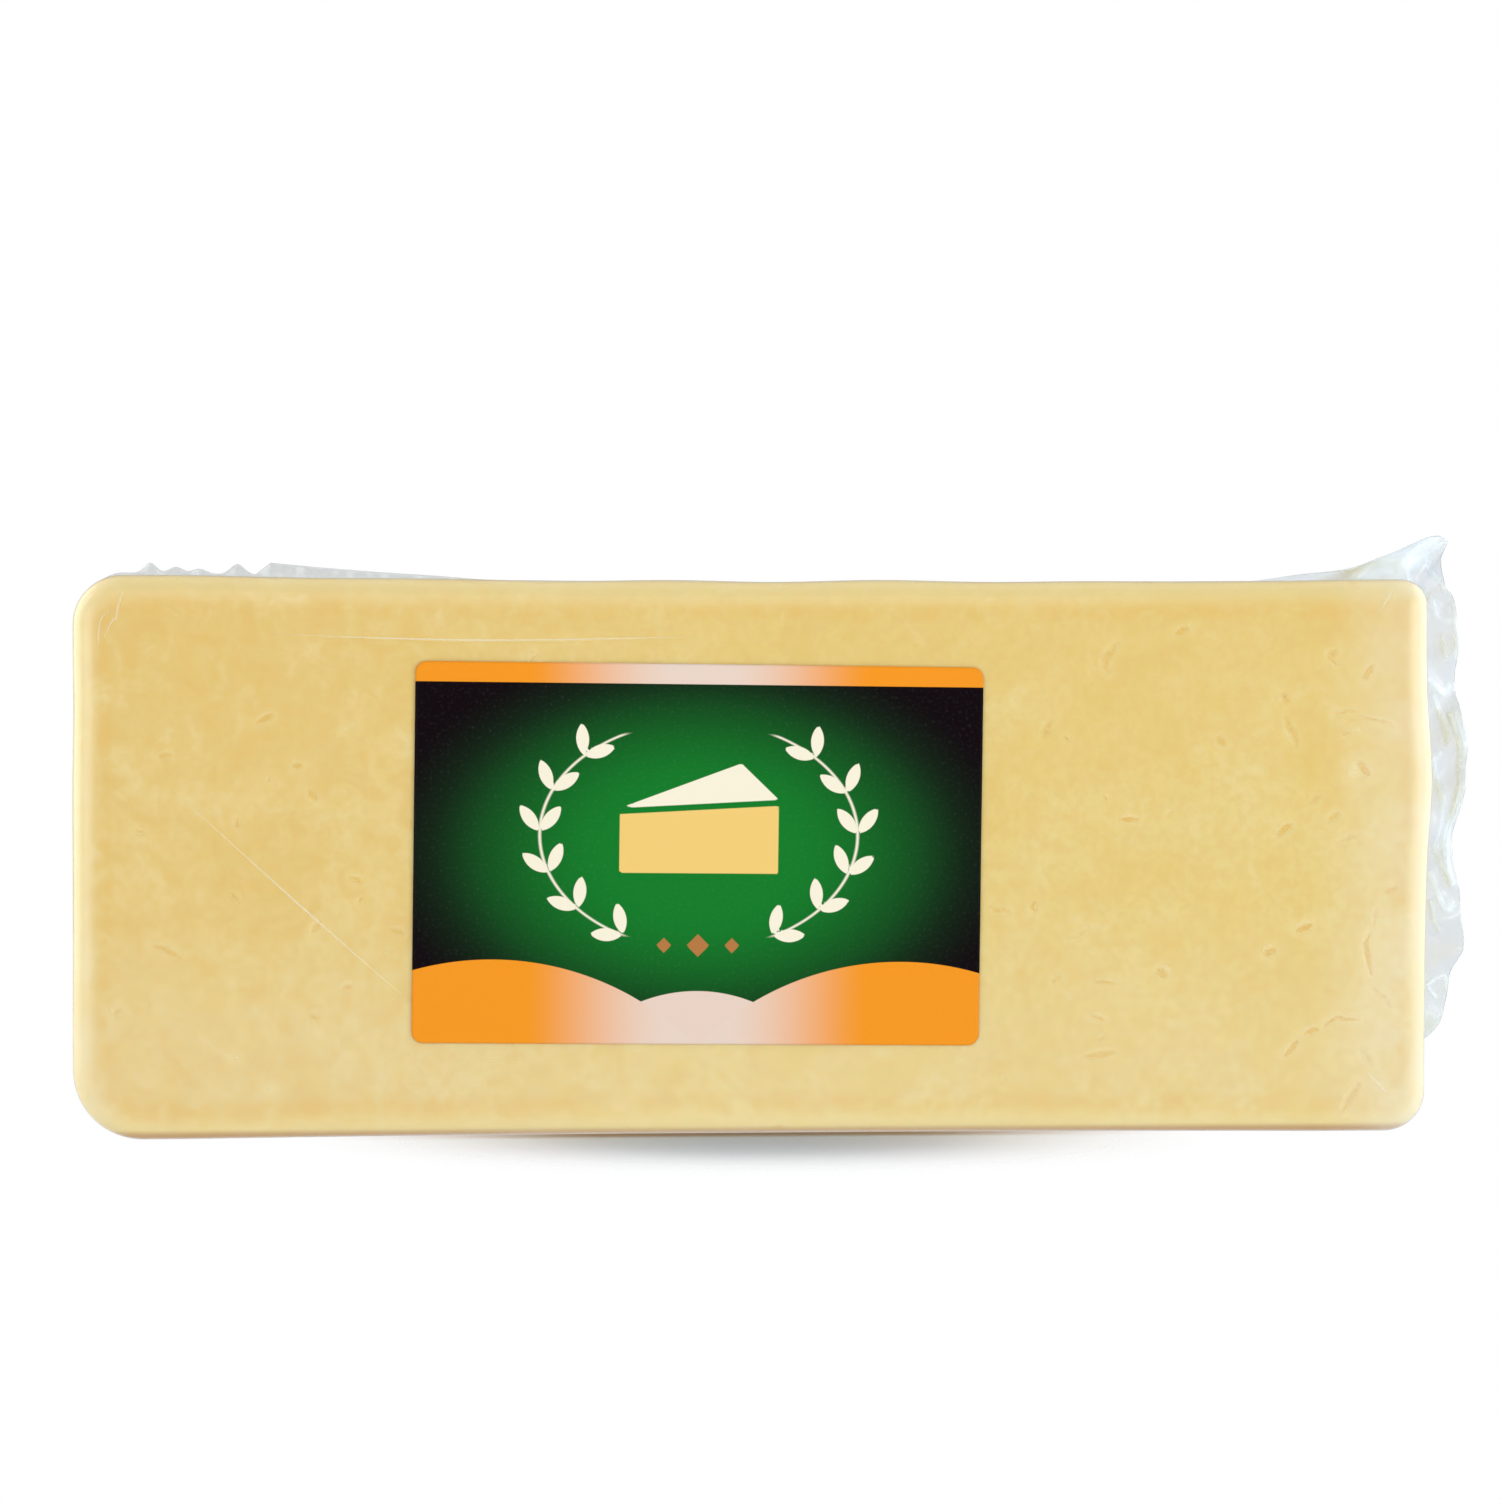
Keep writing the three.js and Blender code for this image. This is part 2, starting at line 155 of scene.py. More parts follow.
# The folds as lines of x, z: in the ear, in the upper lobe, along the seam, and in the lower lobes
TAIL_FOLDS = [
    ("veil", [(168, 150.6), (178, 153), (190, 158)]),
    ("veil", [(172, 149.5), (182, 152.5), (188, 154)]),
    ("crease", [(183.2, 151.5), (187.5, 154), (191.3, 156.6), (193.9, 158.3)]),
    ("crease", [(182.8, 151.6), (183.9, 147.3)]),
    ("roll", [(180.5, 153.3), (192.5, 159.6)]),
    ("roll", [(175.7, 153), (190.3, 159.4)]),
    ("dent", [(186, 150), (190.3, 153), (192.9, 146.4)]),
    ("crease", [(189.2, 154.1), (190.3, 150.3), (192.9, 145.4)]),
    ("roll", [(185.1, 146.2), (188.4, 144.1), (190.7, 140)]),
    ("dent", [(188.1, 143.7), (189.3, 134.3)]),
    ("roll", [(196, 141), (196.7, 135.7), (196.9, 130.9), (197, 127.5)]),
    ("crease", [(193.2, 132.6), (193.6, 129.4), (194.1, 127.1)]),
    ("roll", [(187.4, 121.4), (191.8, 118.8), (195, 117), (196.3, 118.9)]),
    ("dent", [(191.1, 128.2), (192.1, 122.8)]),
    ("roll", [(191.1, 116.2), (193.1, 111.8), (194.2, 107.9), (194.6, 103.5)]),
    ("roll", [
        (197.3, 111.8), (198.7, 104.1), (199.5, 97.3), (198.4, 88.4),
        (196.3, 79.3), (195.8, 70.3), (196.1, 65.3),
    ]),
    ("crease", [(195.9, 111), (197.2, 104.1), (198.1, 97.3), (197, 88.4), (195, 79.3), (194.5, 72.4)]),
    ("roll", [
        (190.1, 99.1), (191.8, 93), (193.4, 85.5), (193.1, 79.3),
        (192.2, 74.9), (194, 69.3), (196.4, 64.4),
    ]),
    ("dent", [(194.8, 94.2), (195.2, 86.8), (193.9, 79.8), (193.2, 75.7)]),
    ("roll", [(190.3, 67.5), (192, 62.2), (194.1, 58), (195.5, 56.9), (197, 58.3)]),
    ("crease", [(190.4, 59.4), (190.7, 57.8), (191.5, 53.9), (192.7, 51.7)]),
    ("crease", [(189.7, 36.5), (192.2, 38.2), (194.8, 39.1), (195.5, 35.1), (196, 31.4)]),
    ("crease", [(190.2, 35.7), (192.5, 33.2)]),
    ("veil", [(189.2, 27.7), (191.5, 25.2)]),
]

# The ruffle of loose film on the top near the left end: a low strip, humps by place, height and half width,
# and a peak that runs out in a wedge
CREST_FROM_X, CREST_TO_X = -176.0, -62.0
CREST_LOW = 0.8
CREST_RUFFLES = [(-160.0, 2.7, 2.2), (-153.2, 1.7, 2.6), (-147.0, 1.3, 2.6), (-136.8, 2.7, 2.6)]
CREST_PEAK, CREST_PEAK_HEIGHT, CREST_RISE, CREST_RUN, CREST_FADE = -128.0, 3.2, 4.0, 58.0, 1.5

# The photograph's view: a square picture, and the camera worked out for it
IMAGE_SIDE = 1500
SENSOR = 36.0
FOCAL_PIXELS = 5320.0
VIEW_AZIMUTH, VIEW_ELEVATION, VIEW_ROLL = -6.244, 1.376, 0.191
VIEW_AIM = (-3.05, -44.0, 102.24)
VIEW_DISTANCE = 1400.0
# The floor: its radius, how bright it is as a light, and how fast its painted shadow fades on X and Y, per
# metre
FLOOR_RADIUS, FLOOR_BOUNCE = 900.0, 0.95
SHADE_FADE = (10.5, 12.0, 0.0)


# Number helpers


def smoothstep(value, start, end):
    """0 before start, 1 after end, and an S-curve between."""
    share = np.clip((value - start) / (end - start), 0.0, 1.0)
    return share * share * (3.0 - 2.0 * share)


def unit(vectors):
    """The vectors at length 1."""
    return vectors / np.maximum(np.linalg.norm(vectors, axis=-1, keepdims=True), 1e-9)


def plane_waves(points, seed, count, longest, shortest, height):
    """A repeatable random field: a sum of sine waves of random direction, phase and length."""
    random = np.random.default_rng(seed)
    direction = unit(random.normal(size=(count, points.shape[-1])))
    length = shortest * (longest / shortest) ** random.random(count)
    phase = 2.0 * np.pi * random.random(count)
    total = np.sin(points @ (2.0 * np.pi * direction / length[:, None]).T + phase).sum(axis=-1)
    return height * total * math.sqrt(2.0 / count)


def waves(along, table):
    """The sum of sine waves along a line, each with its reach, length and shift."""
    return sum(reach * np.sin(2.0 * np.pi * along / length + shift) for reach, length, shift in table)


def evenly(line, count):
    """count points along a line, at equal distances."""
    travel = np.concatenate([[0.0], np.cumsum(np.linalg.norm(np.diff(line, axis=0), axis=1))])
    wanted = np.linspace(0.0, travel[-1], count)
    return np.stack([np.interp(wanted, travel, axis) for axis in line.T], axis=1)


def spline(points, count):
    """count even points on a smooth curve: cubic spans whose end slopes come from the neighbouring points."""
    points = np.asarray(points, float)
    ends = np.concatenate([[2 * points[0] - points[1]], points, [2 * points[-1] - points[-2]]])
    share = np.linspace(0.0, 1.0, 24, endpoint=False)[None, :, None]
    before, start, end, after = (ends[k : len(ends) - 3 + k, None] for k in range(4))
    slope, slope_end = (end - before) / 2.0, (after - start) / 2.0
    bend = 3.0 * (end - start) - 2.0 * slope - slope_end
    twist = 2.0 * (start - end) + slope + slope_end
    fine = (start + share * (slope + share * (bend + share * twist))).reshape(-1, points.shape[1])
    return evenly(np.concatenate([fine, points[-1:]]), count)


def line_distance(places, line):
    """The distance from each place to the nearest point of a line of straight spans."""
    nearest = np.full(places.shape[:-1], np.inf)
    for start, span in zip(line[:-1], np.diff(line, axis=0)):
        share = np.clip((places - start) @ span / (span @ span), 0.0, 1.0)
        nearest = np.minimum(nearest, np.linalg.norm(places - start - share[..., None] * span, axis=-1))
    return nearest


# Mesh helpers


def make_piece(name, points, faces, material, attributes=None, smooth=True):
    """A mesh object from points in millimetres and four-cornered faces, with named numbers per point."""
    mesh = bpy.data.meshes.new(name)
    mesh.vertices.add(len(points))
    mesh.vertices.foreach_set("co", (np.asarray(points) * MM).astype(np.float32).ravel())
    mesh.loops.add(faces.size)
    mesh.loops.foreach_set("vertex_index", faces.astype(np.int32).ravel())
    mesh.polygons.add(len(faces))
    mesh.polygons.foreach_set("loop_start", np.arange(0, faces.size, 4, dtype=np.int32))
    mesh.update(calc_edges=True)
    for label, values in (attributes or {}).items():
        kind, field = ("FLOAT", "value") if values.ndim == 1 else ("FLOAT_VECTOR", "vector")
        layer = mesh.attributes.new(label, kind, "POINT")
        layer.data.foreach_set(field, values.astype(np.float32).ravel())
    mesh.materials.append(material)
    if smooth:
        mesh.shade_smooth()
    piece = bpy.data.objects.new(name, mesh)
    bpy.context.scene.collection.objects.link(piece)
    return piece


def stations(spans):
    """Places along an axis: each span is where it starts, where it ends and its number of steps."""
    return np.unique(np.concatenate([np.linspace(a, b, n + 1).round(6) for a, b, n in spans]))


def box_shell(*places):
    """A closed box whose six sides are grids over the places on X, Y and Z: points, and outward faces."""
    counts = [len(axis) - 1 for axis in places]
    sides = []
    for axis in range(3):
        across, up = (axis + 1) % 3, (axis + 2) % 3
        column, row = np.meshgrid(np.arange(counts[across]), np.arange(counts[up]), indexing="ij")
        for end in (0, counts[axis]):
            corners = np.empty(column.shape + (4, 3), int)
            corners[..., axis] = end
            corners[..., across] = column[..., None] + np.array([0, 1, 1, 0])
            corners[..., up] = row[..., None] + np.array([0, 0, 1, 1])
            sides.append((corners if end else corners[..., ::-1, :]).reshape(-1, 4, 3))
    corners = np.concatenate(sides)
    shape = [count + 1 for count in counts]
    numbered = np.ravel_multi_index(tuple(np.moveaxis(corners, -1, 0)), shape)
    keys, faces = np.unique(numbered, return_inverse=True)
    picked = np.unravel_index(keys, shape)
    points = np.stack([np.asarray(axis)[k] for axis, k in zip(places, picked)], axis=1)
    return points, faces.reshape(-1, 4)


def grid_faces(rows, columns):
    """The four-cornered faces of a grid of rows by columns of points."""
    first = np.arange(rows - 1)[:, None] * columns + np.arange(columns - 1)[None, :]
    return np.stack([first, first + 1, first + columns + 1, first + columns], axis=-1).reshape(-1, 4)


def point_normals(points, faces):
    """Unit normals at the points: the sum of the normals of the faces that meet there."""
    first, second, third, fourth = points[faces.T]
    across = np.cross(third - first, fourth - second)
    total = np.zeros_like(points)
    for corner in faces.T:
        np.add.at(total, corner, across)
    return unit(total)


# The block's form


def top_sag(x):
    """How far the top sinks at x: a parabola, deepest at mid-length."""
    return TOP_SAG * np.maximum(0.0, 1.0 - (x / HALF_LENGTH) ** 2)


def end_swell(z):
    """How far the right end swells out at height z: a bell curve."""
    return END_SWELL * np.exp(-(((z - END_SWELL_AT) / END_SWELL_SPREAD) ** 2))


def block_form(box):
    """Points of a square-edged box about its centre, moved onto the rounded, uneven block.

    Near an outline corner the two distances past the arc's centre become a vector of the same direction whose
    length is the larger of them, which turns the square into a disc. Near the rim of a large face the same is
    done with the distances past the rim's own curve, with a higher power than the square in the length, so
    that the rim eases into the face. The sag, lifted rims and swell are then added.
    """
    x, y, z = box.T
    side = np.abs(box)
    corner = np.where(
        x < 0,
        np.where(z < 0, CORNER_LEFT_BOTTOM, CORNER_LEFT_TOP),
        np.where(z < 0, CORNER_RIGHT_BOTTOM, CORNER_RIGHT_TOP),
    )
    place = side[:, [0, 2]]
    limit = HALF_SIZE[[0, 2]]
    past = place - (limit - corner[:, None])
    turning = (past > 0).all(axis=1, keepdims=True)
    along = unit(past)
    outward = np.where(turning, along, np.eye(2)[np.argmin(limit - place, axis=1)])
    inset = (limit - place).min(axis=1)
    place = np.where(turning, place - past + along * past.max(axis=1, keepdims=True), place)
    rim = np.maximum(RIM_REACH - np.stack([inset, HALF_DEPTH - side[:, 1]], axis=1), 0.0)
    rounded = (rim > 0).all(axis=1, keepdims=True)
    rim_length = np.maximum((rim**RIM_POWER).sum(axis=1, keepdims=True) ** (1.0 / RIM_POWER), 1e-9)
    moved = np.where(rounded, rim / rim_length * rim.max(axis=1, keepdims=True) - rim, 0.0)
    place = place + outward * moved[:, :1]
    x = place[:, 0] * np.sign(x)
    z = place[:, 1] * np.sign(z)
    y = (side[:, 1] + moved[:, 1]) * np.sign(y)
    rise = np.clip((z + HALF_HEIGHT) / HEIGHT, 0.0, 1.0)
    bowed = np.maximum(0.0, 1.0 - (x / RIM_LIFT_REACH) ** 2)
    lift = smoothstep(np.abs(y), BASE_FLAT_REACH, HALF_DEPTH) * bowed
    height = z + HALF_HEIGHT - top_sag(x) * rise + RIM_LIFT * lift * (1.0 - rise)
    reach = np.clip((x + HALF_LENGTH) / (2 * HALF_LENGTH), 0.0, 1.0)
    return np.stack([x + end_swell(height) * reach, y, height], axis=1)


def outward_from(points):
    """Unit directions off the block at the points: away from the nearest point of the block less its rims."""
    inner = HALF_SIZE - RIM_RADIUS
    centred = points - [0.0, 0.0, HALF_HEIGHT]
    return unit(centred - np.clip(centred, -inner, inner))


def edge_distance(box):
    """How far points on the box are from its nearest edge: the second least of the distances to its sides."""
    return np.sort(HALF_SIZE - np.abs(box), axis=1)[:, 1]


def off_the_base(points):
    """1 on the block, falling to 0 over the last millimetres above the floor, so that the base stays flat."""
    return smoothstep(points[:, 2], 0.5, 6.0)


def slow_swell(points):
    """The long shallow unevenness that cheese, film and label share, in millimetres outward."""
    return plane_waves(points, **SWELL) * off_the_base(points)


# Materials


def srgb(red, green, blue):
    """A colour given as screen values from 0 to 255, as linear light with full cover."""
    screen = np.array([red, green, blue]) / 255.0
    linear = np.where(screen <= 0.04045, screen / 12.92, ((screen + 0.055) / 1.055) ** 2.4)
    return (*linear, 1.0)


def new_material(name):
    """An empty node material and its tree."""
    material = bpy.data.materials.new(name)
    material.use_nodes = True
    material.node_tree.nodes.clear()
    return material, material.node_tree


def node(tree, kind, inputs=None, **options):
    """A shader node with its options set, and its sockets, by name or number, linked or set."""
    made = tree.nodes.new("ShaderNode" + kind)
    for option, value in options.items():
        setattr(made, option, value)
    for socket, value in (inputs or {}).items():
        if isinstance(value, bpy.types.NodeSocket):
            tree.links.new(value, made.inputs[socket])
        else:
            made.inputs[socket].default_value = value
    return made


def finish_with(tree, shader):
    """Makes a shader socket the material's surface."""
    node(tree, "OutputMaterial", {"Surface": shader})


def object_place(tree):
    """Where a point is on the object, in metres."""
    return node(tree, "TexCoord").outputs["Object"]


def number(tree, name):
    """A number that the mesh carries at each point."""
    return node(tree, "Attribute", attribute_name=name).outputs["Fac"]


def ramp(tree, value, start, end, low=0.0, high=1.0):
    """value carried from start to end onto low to high along an S-curve, and held there outside it."""
    inputs = {"Value": value, "From Min": start, "From Max": end, "To Min": low, "To Max": high}
    return node(tree, "MapRange", inputs, interpolation_type="SMOOTHSTEP").outputs["Result"]


def calculate(tree, operation, *values, clamp=False):
    """The result of one sum."""
    return node(tree, "Math", dict(enumerate(values)), operation=operation, use_clamp=clamp).outputs["Value"]


def vector_sum(tree, operation, *values):
    """The result of one sum on vectors: a number for a length or distance, and otherwise a vector."""
    made = node(tree, "VectorMath", dict(enumerate(values)), operation=operation)
    return made.outputs["Value" if operation in ("LENGTH", "DISTANCE") else "Vector"]


def camera_ray(tree):
    """1 for a ray straight from the camera, and 0 for a bounced or shadow ray."""
    return node(tree, "LightPath").outputs["Is Camera Ray"]


def near(tree, value, centre, width, high=1.0):
    """high where value is at centre, falling to 0 at width to either side."""
    apart = calculate(tree, "ABSOLUTE", calculate(tree, "SUBTRACT", value, centre))
    return ramp(tree, apart, width, 0.0, 0.0, high)


def blend(tree, factor, first, second):
    """Two colours mixed by a factor."""
    return node(tree, "Mix", {0: factor, 6: first, 7: second}, data_type="RGBA").outputs[2]


def noise(tree, place, size, detail=2.0, roughness=0.5, distortion=0.0):
    """Smooth noise whose features are about size across, in the place's own unit."""
    inputs = {"Vector": place, "Scale": 1.0 / size, "Detail": detail, "Roughness": roughness}
    return node(tree, "TexNoise", {**inputs, "Distortion": distortion}).outputs["Fac"]


def cheese_material():
    """Pale cheddar: cream with soft orange blotches and spots, and painted light: painted highlight that
    pales the rims and the right end, and painted shade towards the top, in a band inside the rims and as a
    brown edge at the base.
    """
    material, tree = new_material("pale_cheddar")
    place = object_place(tree)
    edge = number(tree, "edge")
    lengthways, _, upwards = node(tree, "SeparateXYZ", {0: place}).outputs
    blotch = noise(tree, place, 30 * MM, 3.0, 0.55, 0.4)
    patch = noise(tree, place, 10 * MM, 3.0, 0.6, 0.8)
    grain = noise(tree, place, 2.6 * MM, 3.0, 0.6)
    mottle = noise(tree, place, 9 * MM, 2.0, 0.45, 1.0)
    mottled = ramp(tree, lengthways, 60 * MM, -120 * MM, 0.2, 0.45)
    deep_mottle = calculate(tree, "MULTIPLY", ramp(tree, mottle, 0.52, 0.3), mottled)
    pale_mottle = calculate(tree, "MULTIPLY", ramp(tree, mottle, 0.5, 0.74), mottled)
    # Painted shade: an orange band just inside the rims, broken up by patches.
    painted_shade_band = calculate(tree, "MULTIPLY", near(tree, edge, 8.5, 3.5, 0.5), ramp(tree, patch, 0.62, 0.4))
    # Painted highlight: whiter on the rims at the right end.
    at_end = ramp(tree, lengthways, 168 * MM, 178 * MM, 0.0, 0.5)
    painted_highlight_end = calculate(tree, "MULTIPLY", ramp(tree, edge, 6.0, 1.5), at_end)
    cell = node(tree, "TexVoronoi", {"Vector": place, "Scale": 75.0})
    chosen = node(tree, "SeparateColor", {0: cell.outputs["Color"]}).outputs
    spotted = ramp(tree, chosen[1], 0.9, 0.95, 0.0, 0.5)
    spot = calculate(tree, "MULTIPLY", ramp(tree, cell.outputs["Distance"], 0.17, 0.05), spotted)
    tones = [
        # Painted shade: deeper and darker towards the top.
        (ramp(tree, upwards, 80 * MM, 150 * MM, 0.0, 0.4), srgb(230, 196, 106)),
        (ramp(tree, lengthways, 20 * MM, -170 * MM, 0.0, 0.45), srgb(232, 201, 130)),
        (ramp(tree, patch, 0.54, 0.76, 0.0, 0.4), srgb(241, 224, 168)),
        (ramp(tree, patch, 0.46, 0.24, 0.0, 0.45), srgb(234, 200, 114)),
        (deep_mottle, srgb(230, 193, 110)),
        (pale_mottle, srgb(238, 217, 156)),
        (ramp(tree, grain, 0.36, 0.7, 0.0, 0.45), srgb(230, 199, 120)),
        # Painted shade: the orange band inside the rims.
        (painted_shade_band, srgb(232, 194, 108)),
        # Painted highlight: paler on the rims.
        (ramp(tree, edge, 7.0, 2.0, 0.0, 0.45), srgb(240, 225, 165)),
        # Painted highlight: near white on the rims at the right end.
        (painted_highlight_end, srgb(250, 242, 212)),
        (ramp(tree, number(tree, "halo"), 0.1, 1.0, 0.0, 0.3), srgb(242, 225, 166)),
        (spot, srgb(230, 192, 100)),
        # Painted shade: brown on the lowest millimetres, where the rim turns under at the base.
        (ramp(tree, upwards, 3.2 * MM, 1.0 * MM, 0.0, 0.85), srgb(188, 136, 74)),
    ]
    colour = blend(tree, ramp(tree, blotch, 0.34, 0.68), srgb(236, 216, 146), srgb(234, 210, 131))
    for cover, tone in tones:
        colour = blend(tree, cover, colour, tone)
    cheese = node(
        tree,
        "BsdfPrincipled",
        {
            "Base Color": colour,
            "Roughness": 0.55,
            "Specular IOR Level": 0.15,
            "Subsurface Weight": 0.3,
            "Subsurface Radius": (1.0, 0.62, 0.28),
            "Subsurface Scale": 3 * MM,
        },
    )
    finish_with(tree, cheese.outputs["BSDF"])
    return material


def curd_line_material():
    """Curd lines: orange along the middle, a pale painted highlight beside it, clear at the edges, without a
    shadow.
    """
    material, tree = new_material("curd_line")
    stain = number(tree, "stain")
    broken = ramp(tree, noise(tree, object_place(tree), 1.4 * MM), 0.3, 0.6, 0.65, 1.0)
    cover = calculate(tree, "MULTIPLY_ADD", number(tree, "pale"), 0.5, stain)
    seen = calculate(tree, "MULTIPLY", broken, camera_ray(tree))
    cover = calculate(tree, "MULTIPLY", cover, seen, clamp=True)
    # The pale colour is the painted highlight beside the stain, and the colour of pale specks.
    colour = blend(tree, ramp(tree, stain, 0.02, 0.3), srgb(245, 231, 180), srgb(224, 180, 84))
    curd = {"Base Color": colour, "Roughness": 0.55, "Specular IOR Level": 0.15}
    solid = node(tree, "BsdfPrincipled", curd).outputs["BSDF"]
    clear = node(tree, "BsdfTransparent").outputs["BSDF"]
    finish_with(tree, node(tree, "MixShader", {0: cover, 1: clear, 2: solid}).outputs["Shader"])
    return material


def film_material(name, tint, slant_tint, milk, haze, crease_haze, gloss, ripple):
    """Clear film: it lets light through with a tint, clouds it a little, and mirrors at a slant.

    The mirrored share is that of smooth plastic, 0.04 face on and rising with the fifth power of the slant.
    The haze casts no shadow. tint and slant_tint are what the film lets through face on and at a slant, milk
    the haze's colour, haze and crease_haze the shares it clouds all over and where the mesh says so, both in
    patches, gloss the roughness of its mirror, and ripple the strength of its ripples.
    """
    material, tree = new_material(name)
    place = object_place(tree)
    patches = ramp(tree, noise(tree, place, 12 * MM, 1.0), 0.3, 0.7, 0.8, 1.2)
    bent = {}
    if ripple:
        ripples = noise(tree, place, 6 * MM, 1.0, 0.5, 0.6)
        bump = node(tree, "Bump", {"Height": ripples, "Strength": ripple, "Distance": 0.5 * MM})
        bent = {"Normal": bump.outputs["Normal"]}
    slant = node(tree, "LayerWeight", {"Blend": 0.5, **bent}).outputs["Facing"]
    mirrored = calculate(tree, "MULTIPLY_ADD", calculate(tree, "POWER", slant, 5.0), 0.96, 0.04)
    # The mesh's crease number is whiteness that paints highlights, and bounce light low on the tight film.
    hazy = calculate(tree, "MULTIPLY_ADD", number(tree, "crease"), crease_haze, haze)
    seen = calculate(tree, "MULTIPLY", patches, camera_ray(tree))
    cloud = calculate(tree, "MULTIPLY", hazy, seen, clamp=True)
    through = blend(tree, ramp(tree, slant, 0.0, 0.5), tint, slant_tint)
    clear = node(tree, "BsdfTransparent", {"Color": through}).outputs["BSDF"]
    white = node(tree, "BsdfDiffuse", {"Color": milk, **bent}).outputs["BSDF"]
    mirror = node(tree, "BsdfGlossy", {"Roughness": gloss, **bent}).outputs["BSDF"]
    body = node(tree, "MixShader", {0: cloud, 1: clear, 2: white}).outputs["Shader"]
    finish_with(tree, node(tree, "MixShader", {0: mirrored, 1: body, 2: mirror}).outputs["Shader"])
    return material


def hill(tree, place, middle, top, radius):
    """1 inside a round hill on the label: a disc whose top is at the given place."""
    centre = (middle, top - radius, 0.0)
    return ramp(tree, vector_sum(tree, "DISTANCE", place, centre), radius + 0.1, radius - 0.1)


def print_material():
    """The label: coated paper with a green field, dark corners, orange and pale hills, and a cream emblem."""
    material, tree = new_material("label_print")
    place = node(tree, "Attribute", attribute_name="print_place").outputs["Vector"]
    across, up = node(tree, "SeparateXYZ", {0: place}).outputs[:2]
    squeezed = vector_sum(tree, "MULTIPLY", place, (1 / LABEL_HALF_WIDTH, 1 / LABEL_HALF_HEIGHT, 0.0))
    outward = vector_sum(tree, "LENGTH", squeezed)
    colour = blend(tree, ramp(tree, outward, 0.3, 1.0), srgb(16, 120, 40), srgb(14, 46, 22))
    colour = blend(tree, ramp(tree, outward, 0.75, 1.15), colour, srgb(12, 2, 8))
    from_middle = calculate(tree, "ABSOLUTE", across)
    orange = blend(tree, ramp(tree, from_middle, 6.0, 46.0), srgb(226, 206, 192), srgb(238, 148, 34))
    colour = blend(tree, hill(tree, place, 0.0, -36.0, 40.0), colour, srgb(226, 204, 190))
    for side in (-1.0, 1.0):
        colour = blend(tree, hill(tree, place, side * 54.0, -28.0, 76.0), colour, orange)
    colour = blend(tree, ramp(tree, up, 44.6, 44.8), colour, orange)
    sprig = vector_sum(tree, "SUBTRACT", place, SPRIG_MIDDLE)
    scaled = vector_sum(tree, "MULTIPLY", sprig, (1 / SPRIG_WIDE, 1 / SPRIG_TALL, 0.0))
    round_out = vector_sum(tree, "LENGTH", scaled)
    sprig_up = calculate(tree, "ABSOLUTE", node(tree, "SeparateXYZ", {0: sprig}).outputs["Y"])
    stem = calculate(tree, "MULTIPLY", near(tree, round_out, 1.0, 0.016), ramp(tree, sprig_up, 27.0, 26.0))
    inks = {"copper": srgb(176, 118, 66), "gold": srgb(236, 200, 118), "cream": srgb(240, 234, 212)}
    colour = blend(tree, stem, colour, inks["cream"])
    for shape, ink in inks.items():
        colour = blend(tree, ramp(tree, number(tree, shape), 0.12, -0.12), colour, ink)
    mottle = noise(tree, place, 0.9, 3.0, 0.6)
    colour = blend(tree, ramp(tree, mottle, 0.5, 0.9, 0.0, 0.02), colour, WHITE)
    fibres = noise(tree, place, 1.4, 3.0, 0.6)
    normal = node(tree, "Bump", {"Height": fibres, "Strength": 0.06, "Distance": 0.2 * MM}).outputs["Normal"]
    paper = {"Base Color": colour, "Roughness": 0.4, "Specular IOR Level": 0.05, "Normal": normal}
    finish_with(tree, node(tree, "BsdfPrincipled", paper).outputs["BSDF"])
    return material


# The cheese


def curd_lines():
    """The lines where curds did not quite knit, on the label side and strewn over all sides but the base.

    Each is the two axes along its side, the axis off it and the sign on that axis, then the line's stain,
    pale edge, width and points, measured from the block's centre. A strewn line is straight but for a random
    shift of its points.
    """
    front = (0, 2, 1, -1.0)
    for stain, pale, width, line in FACE_LINES:
        yield front, stain, pale, width, np.array(line) - [0.0, HALF_HEIGHT]
    random = np.random.default_rng(LINE_SEED)
    sides = [front, (0, 2, 1, 1.0), (0, 1, 2, 1.0), (1, 2, 0, 1.0), (1, 2, 0, -1.0)]
    for choice in random.choice(len(sides), STREWN_LINES, p=[0.24, 0.42, 0.16, 0.09, 0.09]):
        middle = (HALF_SIZE[list(sides[choice][:2])] - STREWN_BORDER) * random.uniform(-1.0, 1.0, 2)
        length = 2.0 * 5.0 ** random.random() ** 2
        heading = unit(random.normal(size=2))
        shift = random.normal(0.0, 0.05 * length, (4, 2))
        line = middle + np.linspace(-0.5, 0.5, 4)[:, None] * length * heading + shift
        stain, pale = random.uniform(0.2, 0.7), random.uniform(0.1, 0.5)
        yield sides[choice], stain, pale, min(0.35 * length, random.uniform(0.8, 1.7)), line


def curd_relief(points):
    """The cheese's own surface off the block's form, in millimetres outward: swells and curd lumps."""
    return slow_swell(points) + plane_waves(points, **LUMPS) * off_the_base(points) - UNDER_FILM


def line_fields(box, normals):
    """How deep the curd lines sink in millimetres, and their pale halo from 0 to 1: bells across them."""
    depth, halo = np.zeros((2, len(box)))
    for (along, up, off, sign), stain, pale, width, line in curd_lines():
        places = box[:, [along, up]]
        close = (np.abs(places - line.mean(axis=0)) < np.ptp(line, axis=0) + 6.0).all(axis=1)
        chosen = np.flatnonzero(close & (sign * normals[:, off] > 0.5))
        distance = line_distance(places[chosen], line)
        sunk = stain * np.exp(-((distance / (1.1 + 0.5 * width)) ** 2))
        glow = max(stain, pale) * np.exp(-((distance / (1.5 + width)) ** 2))
        depth[chosen] = np.maximum(depth[chosen], sunk)
        halo[chosen] = np.maximum(halo[chosen], glow)
    return LINE_SINK * depth, halo


